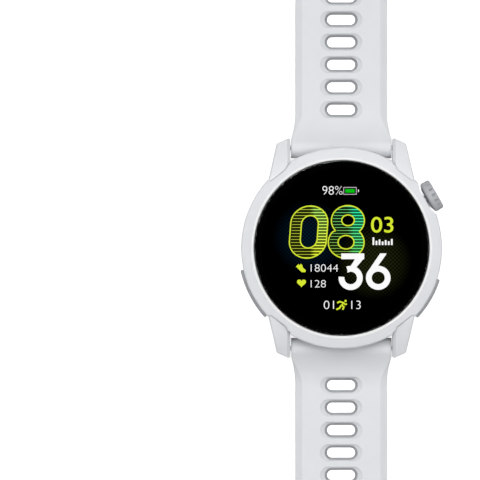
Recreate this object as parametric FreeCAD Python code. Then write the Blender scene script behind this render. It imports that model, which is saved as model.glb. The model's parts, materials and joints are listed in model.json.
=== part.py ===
"""GPS running watch with a crown, two arc buttons, slotted silicone straps and a pin buckle.

Millimetres and degrees. The watch lies flat and face up.
Origin: centre of the sensor window's flat face, the lowest face of the case.
+Z: from the back to the display.  +Y: towards 12 o'clock.  +X: towards 3 o'clock.
"""
import FreeCAD, Part
import math
import os

Vector = FreeCAD.Vector
ORIGIN = Vector(0, 0, 0)
X_AXIS = Vector(1, 0, 0)
Y_AXIS = Vector(0, 1, 0)
Z_AXIS = Vector(0, 0, 1)

# ------------------------------------------------------------------ driving dimensions
CASE_RADIUS = 21.7              # outside of the bezel ring
GLASS_RADIUS = 18.92            # edge of the cover glass
CAVITY_RADIUS = 18.2            # inside of the case wall

COVER_BOTTOM = 1.0              # heights above the window's face, from the back to the front
COVER_TOP = 2.0
RING_BOTTOM = 8.6
GLASS_BOTTOM = 10.3
RING_TOP = 11.6
GLASS_TOP = 11.8
CONTROL_HEIGHT = 5.9            # axis of the crown and of both buttons

LUG_INSIDE = 11.05              # half of the gap between a pair of lugs
LUG_TIP = 23.78
FLAT_Y = 18.95                  # flat of the case wall behind each strap end

BAR_Y = 21.7                    # spring bars
BAR_HEIGHT = 3.4
BAR_RADIUS = 0.9
BAR_PIN_RADIUS = 0.5
BAR_PIN_REACH = 12.3
LEVER_X = -7.6                  # lever of a quick-release spring bar
RELEASE_TRAVEL = 1.3
RUNNING_FIT = 0.05              # radial clearance of every turning or sliding fit

STRAP_END_RADIUS = 2.25
STRAP_HALF_WIDTH = 9.95
STRAP_LUG_HALF_WIDTH = 10.85
STRAP_THICKNESS = 2.6
SLOT_PITCH = 4.87
UPPER_SLOT_Y = 29.95            # first slot of the buckle strap
UPPER_SLOT_COUNT = 13
LOWER_SLOT_Y = 29.7             # first slot of the tail strap
LOWER_SLOT_COUNT = 21
STUD_AFTER_SLOT = 6.97
STUD_NECK = (5.4, 1.7)          # length and width
TIP_AFTER_STUD = 7.4
LIFT_START = 95.0               # from here the tail curves up, because its stud holds it off
LIFT_RADIUS = 450.0

PIN_AFTER_SLOT = 9.0            # last slot of the buckle strap to the buckle pin
PIN_HEIGHT = 1.3
PIN_RADIUS = 0.6
PIN_HALF_LENGTH = 11.2
STRAP_PAST_PIN = 2.2
LEG_OUTSIDE = 11.76             # legs of the buckle frame
LEG_INSIDE = 10.1
LEG_SPREAD = 0.23               # how far their ends stand wider
LEG_TOP = 3.3
BEND_START = 6.0                # distances from the pin, where the frame bends down
BEND_END = 10.8
BAR_SLOPE = math.radians(10)
NOTCH_HALF = 2.8                # notch in the far bar, and the tongue that rests in it
TONGUE_HALF = 2.685
TONGUE_TIP = 12.72

# controls: distances are counted from the watch's centre along each one's own axis
CROWN_ANGLE = 30.0
CROWN_RADIUS = 3.43
CROWN_SPRING_SEAT = 19.6
CROWN_BACK = 21.2
CROWN_FRONT = 23.7
CROWN_SOCKET = 22.95            # bottom of the hole that takes the shaft
SHAFT_RADIUS = 0.9
SHAFT_END = 16.4
SHAFT_GROOVE = 0.6              # radius at the bottom of the grooves
CROWN_SEAL_STARTS = (18.8, 20.0)
CROWN_CLIP_START = 17.7
TUBE_RADIUS = 1.5
RIGHT_BUTTON = (-42.6, -17.8)   # first and last angle of each button
LEFT_BUTTON = (192.4, 222.3)
BUTTON_RADIUS = 22.35
POCKET_FLOOR = 20.4
BUTTON_SPRING_SEAT = 19.3
CAP_INSIDE = 20.9
CAP_HALF_HEIGHT = 1.7
STEM_RADIUS = 0.75
STEM_GROOVE = 0.5
STEM_END = 16.45
STEM_TOP = 21.4
BUTTON_SEAL_START = 18.5
BUTTON_CLIP_START = 17.83
SEAL_LENGTH = 0.5
CLIP_LENGTH = 0.25
SWITCH_FRONT = 15.9             # front of the buttons' switch bodies
SWITCH_HALF_WIDTH = 1.4
SWITCH_DEPTH = 0.95

# back and inside
WINDOW_RADIUS = 11.9
WINDOW_FLANGE = 12.6
SCREW_PLACE = (12.9, 16.4)
GASKET_INSIDE = 18.45
GASKET_OUTSIDE = 19.15
GASKET_BOTTOM = 1.55
SENSOR_BOARD = (2.0, 2.6)       # bottom and top of the board
LED_PLACES = 3
LED_CIRCLE = 3.1
DIODE_PLACES = 4
DIODE_CIRCLE = 7.0
PORT_Y = -15.4                  # charging socket
PORT_HALF_LENGTH = 4.1
PORT_HALF_WIDTH = 1.7
CONTACT_PITCH = 1.55
CONTACT_RADIUS = 0.35
CONTACT_COUNT = 4
BOARD = (6.75, 7.45)            # bottom and top of the main board
CHASSIS_INSIDE = 16.9
CHASSIS_OUTSIDE = 17.6
DISPLAY_BOTTOM = 9.1
MOTOR_Y = -11.2
MOTOR_HEIGHT = 4.8
MOTOR_RADIUS = 1.75
VENT_ANGLE = 150.0
VENT_RADIUS = 0.9

PIN_Y = UPPER_SLOT_Y + (UPPER_SLOT_COUNT - 1) * SLOT_PITCH + PIN_AFTER_SLOT
STUD_Y = LOWER_SLOT_Y + (LOWER_SLOT_COUNT - 1) * SLOT_PITCH + STUD_AFTER_SLOT
TIP_Y = STUD_Y + TIP_AFTER_STUD

nodes = {}


# ------------------------------------------------------------------ drawing helpers
def outline(place, start, steps):
    """Closed wire. A step is a point for a straight run, or (middle, end) for an arc."""
    edges = []
    here = start
    for step in list(steps) + [start]:
        if isinstance(step[0], tuple):
            middle, there = step
            edges.append(Part.Arc(place(*here), place(*middle), place(*there)).toShape())
        elif step != here:
            there = step
            edges.append(Part.LineSegment(place(*here), place(*there)).toShape())
        here = there
    return Part.Wire(edges)


def plate(start, steps, bottom, top):
    """Plan outline in X and Y, as thick as the two heights say."""
    flat = outline(lambda x, y: Vector(x, y, bottom), start, steps)
    return Part.Face(flat).extrude(Vector(0, 0, top - bottom))


def side_plate(start, steps, left, right):
    """Side outline in Y and Z, from one X to another."""
    flat = outline(lambda y, z: Vector(left, y, z), start, steps)
    return Part.Face(flat).extrude(Vector(right - left, 0, 0))


def turned(start, *steps):
    """Outline in radius and height, turned about the Z axis."""
    flat = outline(lambda radius, height: Vector(radius, 0, height), start, steps)
    return Part.Face(flat).revolve(ORIGIN, Z_AXIS, 360)


def turned_on_x(start, *steps):
    """Outline in distance and radius, turned about the X axis."""
    flat = outline(lambda distance, radius: Vector(distance, 0, radius), start, steps)
    return Part.Face(flat).revolve(ORIGIN, X_AXIS, 360)


def block(x_range, y_range, z_range):
    size = [high - low for low, high in (x_range, y_range, z_range)]
    return Part.makeBox(*size, Vector(x_range[0], y_range[0], z_range[0]))


def disc(radius, bottom, top, x=0.0, y=0.0):
    return Part.makeCylinder(radius, top - bottom, Vector(x, y, bottom))


def ring(inside, outside, bottom, top):
    return disc(outside, bottom, top).cut(disc(inside, bottom, top))


def rod(radius, start, end, y=0.0, z=0.0):
    """Cylinder along X."""
    return Part.makeCylinder(radius, end - start, Vector(start, y, z), X_AXIS)


def sleeve(inside, outside, start, end):
    return rod(outside, start, end).cut(rod(inside, start, end))


def pill_wire(length, width, x, y, height):
    """Outline with two straight sides and two half-round ends, lying along X."""
    radius = width / 2
    reach = length / 2 - radius
    return outline(
        lambda a, b: Vector(x + a, y + b, height),
        (-reach, -radius),
        [(reach, -radius), ((reach + radius, 0), (reach, radius)), (-reach, radius),
         ((-reach - radius, 0), (-reach, -radius))],
    )


def pill(length, width, bottom, top, x=0.0, y=0.0):
    return Part.Face(pill_wire(length, width, x, y, bottom)).extrude(Vector(0, 0, top - bottom))


def rounded_block(x_range, y_range, z_range, corner):
    solid = block(x_range, y_range, z_range)
    upright = [edge for edge in solid.Edges if abs(edge.tangentAt(edge.FirstParameter).z) > 0.99]
    return solid.makeFillet(corner, upright)


def coil(radius, wire_radius, start, end, turns):
    """Round-wire compression spring along X; its ends stop at start and end."""
    length = end - start - 2 * wire_radius
    helix = Part.makeHelix(length / turns, length, radius)
    section = Part.Wire(Part.makeCircle(wire_radius, Vector(radius, 0, 0), Y_AXIS))
    spring = Part.Wire(helix).makePipeShell([section], True, True)
    spring.rotate(ORIGIN, Y_AXIS, 90)
    spring.translate(Vector(start + wire_radius, 0, 0))
    return spring


def at_angle(shape, angle):
    """Turns a piece drawn along +X to its clock position, at the controls' height."""
    moved = shape.copy()
    moved.rotate(ORIGIN, Z_AXIS, angle)
    moved.translate(Vector(0, 0, CONTROL_HEIGHT))
    return moved


def edges_within(solid, x_range, y_range, z_range):
    """Edges that lie inside a box."""
    box = FreeCAD.BoundBox(*[low for low, high in (x_range, y_range, z_range)],
                           *[high for low, high in (x_range, y_range, z_range)])
    return [edge for edge in solid.Edges if box.isInside(edge.BoundBox)]


def mirrored(shape, normal):
    return shape.mirror(ORIGIN, normal)


def joined(shapes):
    first, *others = shapes
    return first.fuse(others).removeSplitter() if others else first


def group(shapes):
    """Separate solids that share one node."""
    return Part.makeCompound(shapes)


# ------------------------------------------------------------------ case shells
def lug_outline(grow=0.0):
    """Plan of the top right lug; grow widens it for the seam in the ring."""
    flat = outline(
        lambda x, y: Vector(x, y, 0),
        (LUG_INSIDE, 18.2),
        [(11.75, 17.8), ((11.9, 17.2), (12.3, 16.75)), (13.2, 16.05), (15.0, 14.72),
         ((15.4, 14.55), (15.75, 14.85)), (14.0, 22.6), (11.4, LUG_TIP), (LUG_INSIDE, 23.5)],
    )
    face = Part.Face(flat)
    return face.makeOffset2D(grow) if grow else face


def lug():
    """Top right lug: the plan, limited by a side view that falls in an arc to the tip."""
    tall = lug_outline().extrude(Vector(0, 0, GLASS_TOP))
    side = side_plate(
        (13.0, COVER_TOP),
        [(18.8, COVER_TOP), (20.0, 1.5), (22.9, 1.3), ((23.75, 2.0), (24.0, 3.2)),
         (24.0, 6.4), ((19.6, 8.8), (13.0, 10.89))],
        LUG_INSIDE - 1,
        CASE_RADIUS,
    )
    solid = tall.common(side)
    inside = edges_within(solid, (11.0, LUG_INSIDE + 0.01), (18.0, 24.0), (5.0, 11.0))
    solid = solid.makeChamfer(0.65, inside)
    rim = edges_within(solid, (11.35, 16.0), (14.8, 24.0), (4.9, 11.1))
    corner = edges_within(solid, (13.9, 14.1), (22.5, 22.7), (1.0, 8.0))
    return solid.makeFillet(0.5, [edge for edge in rim if edge.BoundBox.XMax > 13.9] + corner)


def four_corners(shape):
    """The piece, and its mirror images at the other three lugs."""
    right = [shape, mirrored(shape, Y_AXIS)]
    return right + [mirrored(piece, X_AXIS) for piece in right]


def button_sector(button, inside, outside, half_height, spare=0.0):
    """Band between two radii, over a button's angles."""
    first, last = button
    reach = 2 * CASE_RADIUS
    angles = [math.radians(a) for a in (first - spare, (first + last) / 2, last + spare)]
    corners = [(reach * math.cos(a), reach * math.sin(a)) for a in angles]
    low, high = CONTROL_HEIGHT - half_height, CONTROL_HEIGHT + half_height
    wedge = plate((0.0, 0.0), corners, low, high)
    return ring(inside, outside, low, high).common(wedge)


def middle_angle(button):
    return sum(button) / 2


def strap_rooms():
    """Space behind each strap end, between its lugs."""
    room = block((-LUG_INSIDE, LUG_INSIDE), (FLAT_Y, 30), (-1, 7.0))
    return [room, mirrored(room, Y_AXIS)]


def crown_recess():
    """Upright cut behind the crown, which leaves room to press it in."""
    half = [(20.82, 2.4), (21.05, 2.95), (21.3, 3.75), (26.0, 3.75)]
    other_half = [(distance, -across) for distance, across in reversed(half)]
    return at_angle(plate(half[0], half[1:] + other_half, -CASE_RADIUS, CASE_RADIUS), CROWN_ANGLE)


def mid_case():
    wall = turned((CAVITY_RADIUS, COVER_TOP), (20.25, COVER_TOP), ((21.05, 3.5), (21.35, 5.2)),
                  (21.5, RING_BOTTOM), (CAVITY_RADIUS, RING_BOTTOM))
    solid = joined([wall.cut(strap_rooms())] + four_corners(lug()))
    cavity = disc(CAVITY_RADIUS, 0, GLASS_TOP)
    cuts = [cavity]
    for y in (BAR_Y, -BAR_Y):
        cuts.append(rod(BAR_PIN_RADIUS + RUNNING_FIT, -12.75, 12.75, y, BAR_HEIGHT))
    cuts += four_corners(disc(0.6, COVER_TOP, 5.4, *SCREW_PLACE))
    cuts.append(crown_recess())
    cuts.append(at_angle(rod(2.4, CROWN_SPRING_SEAT, CASE_RADIUS), CROWN_ANGLE))
    cuts.append(at_angle(rod(TUBE_RADIUS, CAVITY_RADIUS - 1, CASE_RADIUS), CROWN_ANGLE))
    for button in (RIGHT_BUTTON, LEFT_BUTTON):
        cuts.append(button_sector(button, POCKET_FLOOR, CASE_RADIUS + 2, CAP_HALF_HEIGHT + 0.08, 0.5))
        angle = middle_angle(button)
        cuts.append(at_angle(rod(STEM_RADIUS + RUNNING_FIT, 17, POCKET_FLOOR + 1), angle))
        cuts.append(at_angle(rod(1.5, BUTTON_SPRING_SEAT, POCKET_FLOOR + 1), angle))
    cuts.append(at_angle(rod(VENT_RADIUS, 17, CASE_RADIUS), VENT_ANGLE))
    return solid.cut(cuts)


def bezel_ring():
    lip = 19.45
    solid = turned(
        (17.7, RING_BOTTOM), (21.5, RING_BOTTOM), (CASE_RADIUS, 8.9), (CASE_RADIUS, 10.3),
        ((21.58, 10.68), (21.25, 10.88)), (lip + 0.25, 11.42), ((lip, 11.5), (lip - 0.12, RING_TOP)),
        (GLASS_RADIUS + 0.22, RING_TOP), (GLASS_RADIUS + 0.06, RING_TOP - 0.16),
        (GLASS_RADIUS + 0.06, GLASS_BOTTOM - 0.15), (17.7, GLASS_BOTTOM - 0.15),
    )
    seam = 0.08
    lugs = four_corners(lug_outline(seam).extrude(Vector(0, 0, GLASS_TOP)))
    return solid.cut(lugs + [crown_recess()])


def cover_lens():
    edge = 0.3
    return turned((0.0, GLASS_BOTTOM), (GLASS_RADIUS, GLASS_BOTTOM), (GLASS_RADIUS, GLASS_TOP - edge),
                  ((GLASS_RADIUS - 0.09, GLASS_TOP - 0.09), (GLASS_RADIUS - edge, GLASS_TOP)),
                  (0.0, GLASS_TOP))


def back_cover():
    bore = WINDOW_RADIUS + 0.05
    solid = turned((bore, 0.3), (12.7, 0.3), (13.4, COVER_BOTTOM), (18.4, COVER_BOTTOM),
                   (20.2, COVER_TOP), (WINDOW_FLANGE + 0.05, COVER_TOP),
                   (WINDOW_FLANGE + 0.05, COVER_BOTTOM), (bore, COVER_BOTTOM))
    ears = four_corners(disc(2.1, COVER_BOTTOM + 0.2, COVER_TOP, *SCREW_PLACE))
    solid = joined([solid] + ears)
    cuts = [ring(GASKET_INSIDE, GASKET_OUTSIDE, GASKET_BOTTOM, COVER_TOP), port_shell()]
    cuts += strap_rooms()
    cuts += four_corners(disc(0.65, 0, COVER_TOP, *SCREW_PLACE))
    cuts += four_corners(disc(1.25, 0, 1.75, *SCREW_PLACE))
    return solid.cut(cuts)


def case_screws():
    x, y = SCREW_PLACE
    head = disc(1.15, 1.2, 1.75, x, y)
    socket = Part.makeCylinder(0.5, 0.35, Vector(x, y, 1.2))
    shank = disc(0.6, 1.75, 5.0, x, y)
    return group(four_corners(joined([head.cut(socket), shank])))


# ------------------------------------------------------------------ sensor and back pieces
def around(count, radius, first=90.0):
    """Centres spread evenly on a circle."""
    angles = [math.radians(first + 360.0 * k / count) for k in range(count)]
    return [(radius * math.cos(a), radius * math.sin(a)) for a in angles]


def square(centre, side, bottom, top):
    x, y = centre
    return block((x - side / 2, x + side / 2), (y - side / 2, y + side / 2), (bottom, top))


def sensor_window():
    pocket = 11.0
    return turned((0.0, 0.0), (10.4, 0.0), ((11.19, 0.128), (WINDOW_RADIUS, 0.5)),
                  (WINDOW_RADIUS, COVER_BOTTOM), (WINDOW_FLANGE, COVER_BOTTOM), (WINDOW_FLANGE, 1.5),
                  (pocket, 1.5), (pocket, 0.8), (0.0, 0.8))


def sensor_light_shield():
    shield = disc(10.9, 0.85, 1.95)
    cuts = [square(place, 1.7, 0, 3) for place in around(LED_PLACES, LED_CIRCLE)]
    cuts += [square(place, 3.2, 0, 3) for place in around(DIODE_PLACES, DIODE_CIRCLE, 45)]
    return shield.cut(cuts)


def sensor_leds():
    return group([square(place, 1.2, 1.4, SENSOR_BOARD[0]) for place in around(LED_PLACES, LED_CIRCLE)])


def sensor_photodiodes():
    places = around(DIODE_PLACES, DIODE_CIRCLE, 45)
    return group([square(place, 2.6, 1.55, SENSOR_BOARD[0]) for place in places])


def port_shell():
    """Outside of the charging socket, without its pocket."""
    return rounded_block((-PORT_HALF_LENGTH, PORT_HALF_LENGTH),
                         (PORT_Y - PORT_HALF_WIDTH, PORT_Y + PORT_HALF_WIDTH),
                         (COVER_BOTTOM, 2.6), 1.2)


def contact_places():
    return [(CONTACT_PITCH * (k - (CONTACT_COUNT - 1) / 2), PORT_Y) for k in range(CONTACT_COUNT)]


def charging_port_body():
    wall = 0.6
    pocket = rounded_block((wall - PORT_HALF_LENGTH, PORT_HALF_LENGTH - wall),
                           (PORT_Y - PORT_HALF_WIDTH + wall, PORT_Y + PORT_HALF_WIDTH - wall),
                           (0, 1.9), 0.8)
    holes = [disc(CONTACT_RADIUS, 0, 3, x, y) for x, y in contact_places()]
    return port_shell().cut([pocket] + holes)


def charging_pins():
    return group([disc(CONTACT_RADIUS, 1.3, 3.0, x, y) for x, y in contact_places()])


# ------------------------------------------------------------------ inside the case
def inner_chassis():
    """Ring with a shelf for the board, open where the crown and the buttons come in."""
    shelf = 14.8
    solid = turned((CHASSIS_INSIDE, 2.7), (CHASSIS_OUTSIDE, 2.7), (CHASSIS_OUTSIDE, 8.4),
                   (CHASSIS_INSIDE, 8.4), (CHASSIS_INSIDE, BOARD[0]), (shelf, BOARD[0]),
                   (shelf, 6.3), (CHASSIS_INSIDE, 6.3))
    opening = block((12, 19), (-2.4, 2.4), (-2.3, 4))
    angles = (CROWN_ANGLE, middle_angle(RIGHT_BUTTON), middle_angle(LEFT_BUTTON))
    return solid.cut([at_angle(opening, angle) for angle in angles])


def battery_cell():
    cell = rounded_block((-12.2, 10.2), (-7.4, 11.6), (2.9, 6.2), 4.0)
    tab = block((-3.5, 3.5), (-8.4, -7.4), (5.3, 6.1))
    return joined([cell, tab])


def main_board():
    board = disc(16.0, *BOARD)
    return board.cut(block((-5, 5), (-17, -15.2), (0, 9)))


def board_shield_can():
    wall = 0.15
    x_range, y_range, top = (-9.0, 3.0), (-5.0, 7.0), 8.55
    outside = rounded_block(x_range, y_range, (BOARD[1], top), 0.8)
    inside = rounded_block((x_range[0] + wall, x_range[1] - wall),
                           (y_range[0] + wall, y_range[1] - wall), (BOARD[1], top - wall), 0.65)
    return outside.cut(inside)


def board_chips():
    top = 8.3
    chips = [square((-3, 1), 7.0, BOARD[1], 8.1)]
    chips += [square(place, size, BOARD[1], top)
              for place, size in (((7.5, 5.0), 3.6), ((7.5, -1.5), 3.0), ((-12.2, 4.5), 2.6),
                                  ((-12.2, -1.0), 2.2), ((1.0, 11.0), 3.2))]
    return group(chips)


def display_panel():
    return disc(17.5, DISPLAY_BOTTOM, GLASS_BOTTOM)


def display_flex():
    """Ribbon from under the display, round a bend, to the board."""
    thick = 0.2
    high, low = DISPLAY_BOTTOM, BOARD[1]
    bend = (high - low) / 2
    middle = (high + low) / 2
    turn = -14.0
    return side_plate(
        (-9.0, high),
        [(turn, high), ((turn - bend, middle), (turn, low)), (-11.0, low), (-11.0, low + thick),
         (turn, low + thick), ((turn - bend + thick, middle), (turn, high - thick)),
         (-9.0, high - thick)],
        -3.5, 3.5)


def gnss_antenna():
    """Strip on the outside of the chassis, over 70 degrees at 12 o'clock."""
    half = math.radians(35)
    reach = 30.0
    wedge = plate((0.0, 0.0), [(reach * math.sin(half), reach * math.cos(half)),
                               (-reach * math.sin(half), reach * math.cos(half))], 5.0, 8.3)
    return ring(CHASSIS_OUTSIDE, CHASSIS_OUTSIDE + 0.3, 5.0, 8.3).common(wedge)


def haptic_motor_can():
    back, front, bore = -8.3, -0.4, 0.36
    can = turned_on_x((back, 0.0), (back, MOTOR_RADIUS), (front, MOTOR_RADIUS), (front, bore),
                      (back + 0.6, bore), (back + 0.6, 0.0))
    can.translate(Vector(0, MOTOR_Y, MOTOR_HEIGHT))
    return can


def haptic_rotor():
    """Thin shaft with a half-round weight outside the can."""
    shaft = rod(0.3, -7.5, 2.4)
    weight = rod(1.55, -0.1, 2.4).cut(block((-2, 3), (-3, 3), (-3, -0.35)))
    solid = joined([shaft, weight])
    solid.translate(Vector(0, MOTOR_Y, MOTOR_HEIGHT))
    return solid


def beeper_disc():
    return disc(3.1, COVER_TOP, 2.4, 8.3, -12.0)


def pressure_vent():
    plug = sleeve(0.3, VENT_RADIUS, 18.6, 20.6)
    membrane = rod(0.3, 19.4, 19.6)
    return at_angle(joined([plug, membrane]), VENT_ANGLE)


# ------------------------------------------------------------------ crown
def crown_knob():
    body = turned_on_x(
        (CROWN_BACK, SHAFT_RADIUS), (CROWN_BACK, 2.2), (CROWN_BACK + 0.25, 2.8),
        ((CROWN_BACK + 0.37, 3.24), (CROWN_BACK + 0.75, CROWN_RADIUS)),
        (CROWN_FRONT - 0.5, CROWN_RADIUS), ((CROWN_FRONT - 0.14, 3.29), (CROWN_FRONT, 2.93)),
        (CROWN_FRONT, 0.0), (CROWN_SOCKET, 0.0), (CROWN_SOCKET, SHAFT_RADIUS))
    grip_count = 16
    grip = Part.makeCylinder(0.27, 2, Vector(CROWN_FRONT - 1.15, 0, 0), X_AXIS)
    grips = [grip.translated(Vector(0, y, z)) for y, z in around(grip_count, CROWN_RADIUS)]
    return at_angle(body.cut(grips), CROWN_ANGLE)


def crown_shaft():
    shaft = rod(SHAFT_RADIUS, SHAFT_END, CROWN_SOCKET)
    grooves = [sleeve(SHAFT_GROOVE, 2, start, start + SEAL_LENGTH) for start in CROWN_SEAL_STARTS]
    grooves.append(sleeve(SHAFT_GROOVE, 2, CROWN_CLIP_START, CROWN_CLIP_START + CLIP_LENGTH))
    return at_angle(shaft.cut(grooves), CROWN_ANGLE)


def crown_seals():
    seal_radius = SHAFT_RADIUS + RUNNING_FIT / 2
    return group([at_angle(sleeve(SHAFT_GROOVE, seal_radius, start, start + SEAL_LENGTH), CROWN_ANGLE)
                  for start in CROWN_SEAL_STARTS])


def clip(start, inside, outside):
    """Spring clip with an open side."""
    open_side = block((start - 1, start + 1), (-inside * 0.7, inside * 0.7), (-outside - 1, 0))
    return sleeve(inside, outside, start, start + CLIP_LENGTH).cut(open_side)


def crown_clip():
    return at_angle(clip(CROWN_CLIP_START, SHAFT_GROOVE, 1.4), CROWN_ANGLE)


def crown_magnet():
    return at_angle(sleeve(SHAFT_RADIUS, 1.8, 16.9, 17.6), CROWN_ANGLE)


def crown_tube():
    return at_angle(sleeve(SHAFT_RADIUS + RUNNING_FIT, TUBE_RADIUS, 18.05, 20.8), CROWN_ANGLE)


def crown_plunger():
    """Sliding cap between the turning shaft and the switch."""
    head = rod(0.8, 15.8, SHAFT_END - 0.05)
    return at_angle(joined([head, rod(0.5, 14.85, 15.8)]), CROWN_ANGLE)


def switch_body(back, front):
    """Switch housing that hangs from the main board."""
    return block((back, front), (-SWITCH_HALF_WIDTH, SWITCH_HALF_WIDTH),
                 (-SWITCH_DEPTH, BOARD[0] - CONTROL_HEIGHT))


def crown_switch():
    body = switch_body(13.2, 15.2)
    return at_angle(body.cut(rod(0.5 + RUNNING_FIT, 14.4, 16)), CROWN_ANGLE)


def crown_spring():
    return at_angle(coil(1.9, 0.14, CROWN_SPRING_SEAT, CROWN_BACK, 3), CROWN_ANGLE)


# ------------------------------------------------------------------ buttons
def button_cap(button):
    cap = button_sector(button, CAP_INSIDE, BUTTON_RADIUS, CAP_HALF_HEIGHT)
    outside = [edge for edge in cap.Edges
               if min(math.hypot(v.X, v.Y) for v in edge.Vertexes) > BUTTON_RADIUS - 0.01]
    cap = cap.makeFillet(0.25, outside)
    return cap.cut(at_angle(rod(STEM_RADIUS, STEM_END, STEM_TOP), middle_angle(button)))


def button_stem(button):
    stem = rod(STEM_RADIUS, STEM_END, STEM_TOP)
    stem = stem.cut([
        sleeve(STEM_GROOVE, 2, BUTTON_SEAL_START, BUTTON_SEAL_START + SEAL_LENGTH),
        sleeve(STEM_GROOVE, 2, BUTTON_CLIP_START, BUTTON_CLIP_START + CLIP_LENGTH),
    ])
    return at_angle(stem, middle_angle(button))


def button_seal(button):
    seal = sleeve(STEM_GROOVE, STEM_RADIUS + RUNNING_FIT / 2, BUTTON_SEAL_START,
                  BUTTON_SEAL_START + SEAL_LENGTH)
    return at_angle(seal, middle_angle(button))


def button_clip(button):
    return at_angle(clip(BUTTON_CLIP_START, STEM_GROOVE, 1.3), middle_angle(button))


def button_spring(button):
    return at_angle(coil(1.15, 0.15, BUTTON_SPRING_SEAT, CAP_INSIDE, 3), middle_angle(button))


def button_switch(button):
    body = switch_body(14.4, SWITCH_FRONT)
    dome = rod(0.5, SWITCH_FRONT, SWITCH_FRONT + 0.18)
    return at_angle(joined([body, dome]), middle_angle(button))


# ------------------------------------------------------------------ straps, drawn towards +Y
def strap_lug_end_steps():
    """From the flat underside, round the spring bar, to the flat top."""
    crest = math.radians(50)
    low, high = BAR_HEIGHT - STRAP_END_RADIUS, BAR_HEIGHT + STRAP_END_RADIUS * math.sin(crest)
    crest_y = BAR_Y + STRAP_END_RADIUS * math.cos(crest)
    return [
        (27.0, 0.0),
        (BAR_Y, low),
        ((BAR_Y - STRAP_END_RADIUS, BAR_HEIGHT), (crest_y, high)),
        ((26.61, 3.25), (30.5, STRAP_THICKNESS)),
    ]


def slot_cutter(y, lift):
    """Shallow dish with a tapered slot through the strap."""
    top = STRAP_THICKNESS + lift
    dish = pill(9.0, 3.57, top - 0.28, top + 3, 0, y)
    taper = Part.makeLoft([pill_wire(6.03, 2.08, 0, y, lift - 0.05),
                           pill_wire(7.0, 3.0, 0, y, top)], True)
    return [dish, taper]


def lug_end_plan():
    """Right side of the plan, from the spring bar to where the strap is straight."""
    return [(STRAP_LUG_HALF_WIDTH, 19.0), (STRAP_LUG_HALF_WIDTH, 23.7),
            ((10.2, 26.6), (STRAP_HALF_WIDTH, 29.2))]


def edge_bevels(first, last):
    """Long wedges that slope the top edges of a straight stretch."""
    wide, deep, spare = 1.58, 0.8, 1.0
    side, top = STRAP_HALF_WIDTH, STRAP_THICKNESS
    section = outline(
        lambda x, z: Vector(x, first, z),
        (side - wide, top),
        [(side, top - deep), (side + spare, top - deep), (side + spare, top + spare),
         (side - wide, top + spare)],
    )
    wedge = Part.Face(section).extrude(Vector(0, last - first, 0))
    return [wedge, mirrored(wedge, X_AXIS)]


def bar_room():
    """Bore for the spring bar, and the pocket where a finger reaches its lever."""
    bore = rod(BAR_RADIUS, -12, 12, BAR_Y, BAR_HEIGHT)
    pocket = block((LEVER_X - 1.0, LEVER_X + RELEASE_TRAVEL + 1.0), (BAR_Y - 1.0, BAR_Y + 1.0),
                   (-1, BAR_HEIGHT))
    return [bore, pocket]


def upper_strap():
    end = PIN_Y + STRAP_PAST_PIN
    boss = 2.9
    boss_radius = boss / 2
    side = side_plate(
        (PIN_Y, 0.0),
        strap_lug_end_steps() + [(PIN_Y - 8.0, STRAP_THICKNESS), (PIN_Y - 3.0, boss),
                                 (end - boss_radius, boss),
                                 ((end, boss_radius), (end - boss_radius, 0.0))],
        -CASE_RADIUS, CASE_RADIUS)
    narrow = 9.8
    right = lug_end_plan() + [(STRAP_HALF_WIDTH, PIN_Y - 6.0), (narrow, PIN_Y - 3.0), (narrow, end + 1)]
    plan = whole_plan(right)
    solid = side.common(plan)
    notch_half = 2.865
    cuts = [block((-notch_half, notch_half), (PIN_Y - 1.5, end + 2), (-1, 5)),
            rod(PIN_RADIUS + RUNNING_FIT, -15, 15, PIN_Y, PIN_HEIGHT)]
    for k in range(UPPER_SLOT_COUNT):
        cuts += slot_cutter(UPPER_SLOT_Y + k * SLOT_PITCH, 0.0)
    return solid.cut(cuts + bar_room() + edge_bevels(30.5, PIN_Y - 8.0))


def whole_plan(right):
    """Plan from its right side, mirrored to the left, as a tall block."""
    ends = [step[1] if isinstance(step[0], tuple) else step for step in right]
    left = []
    for k in range(len(right) - 1, 0, -1):
        x, y = ends[k - 1]
        if isinstance(right[k][0], tuple):
            middle_x, middle_y = right[k][0]
            left.append(((-middle_x, middle_y), (-x, y)))
        else:
            left.append((-x, y))
    first = ends[0]
    x, y = ends[-1]
    return plate(first, right[1:] + [(-x, y)] + left, -1, 9)


def tail_lift(y):
    run = max(0.0, y - LIFT_START)
    return LIFT_RADIUS - math.sqrt(LIFT_RADIUS ** 2 - run ** 2)


def lower_strap_solid():
    middle = (LIFT_START + TIP_Y) / 2
    tip_lift, middle_lift = tail_lift(TIP_Y), tail_lift(middle)
    side = side_plate(
        (LIFT_START, 0.0),
        strap_lug_end_steps() + [
            (LIFT_START, STRAP_THICKNESS),
            ((middle, middle_lift + STRAP_THICKNESS), (TIP_Y, tip_lift + STRAP_THICKNESS)),
            (TIP_Y, tip_lift),
            ((middle, middle_lift), (LIFT_START, 0.0)),
        ],
        -CASE_RADIUS, CASE_RADIUS)
    right = lug_end_plan() + [
        (STRAP_HALF_WIDTH, TIP_Y - 7.2),
        ((8.93, TIP_Y - 3.75), (6.3, TIP_Y - 1.42)),
        ((3.3, TIP_Y - 0.33), (0.6, TIP_Y)),
    ]
    solid = side.common(whole_plan(right))
    cuts = [block((-STUD_NECK[0] / 2, STUD_NECK[0] / 2),
                  (STUD_Y - STUD_NECK[1] / 2, STUD_Y + STUD_NECK[1] / 2), (-1, 9))]
    for k in range(LOWER_SLOT_COUNT):
        y = LOWER_SLOT_Y + k * SLOT_PITCH
        cuts += slot_cutter(y, tail_lift(y))
    return solid.cut(cuts + bar_room() + edge_bevels(30.5, LIFT_START)).cut(stud())


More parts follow.
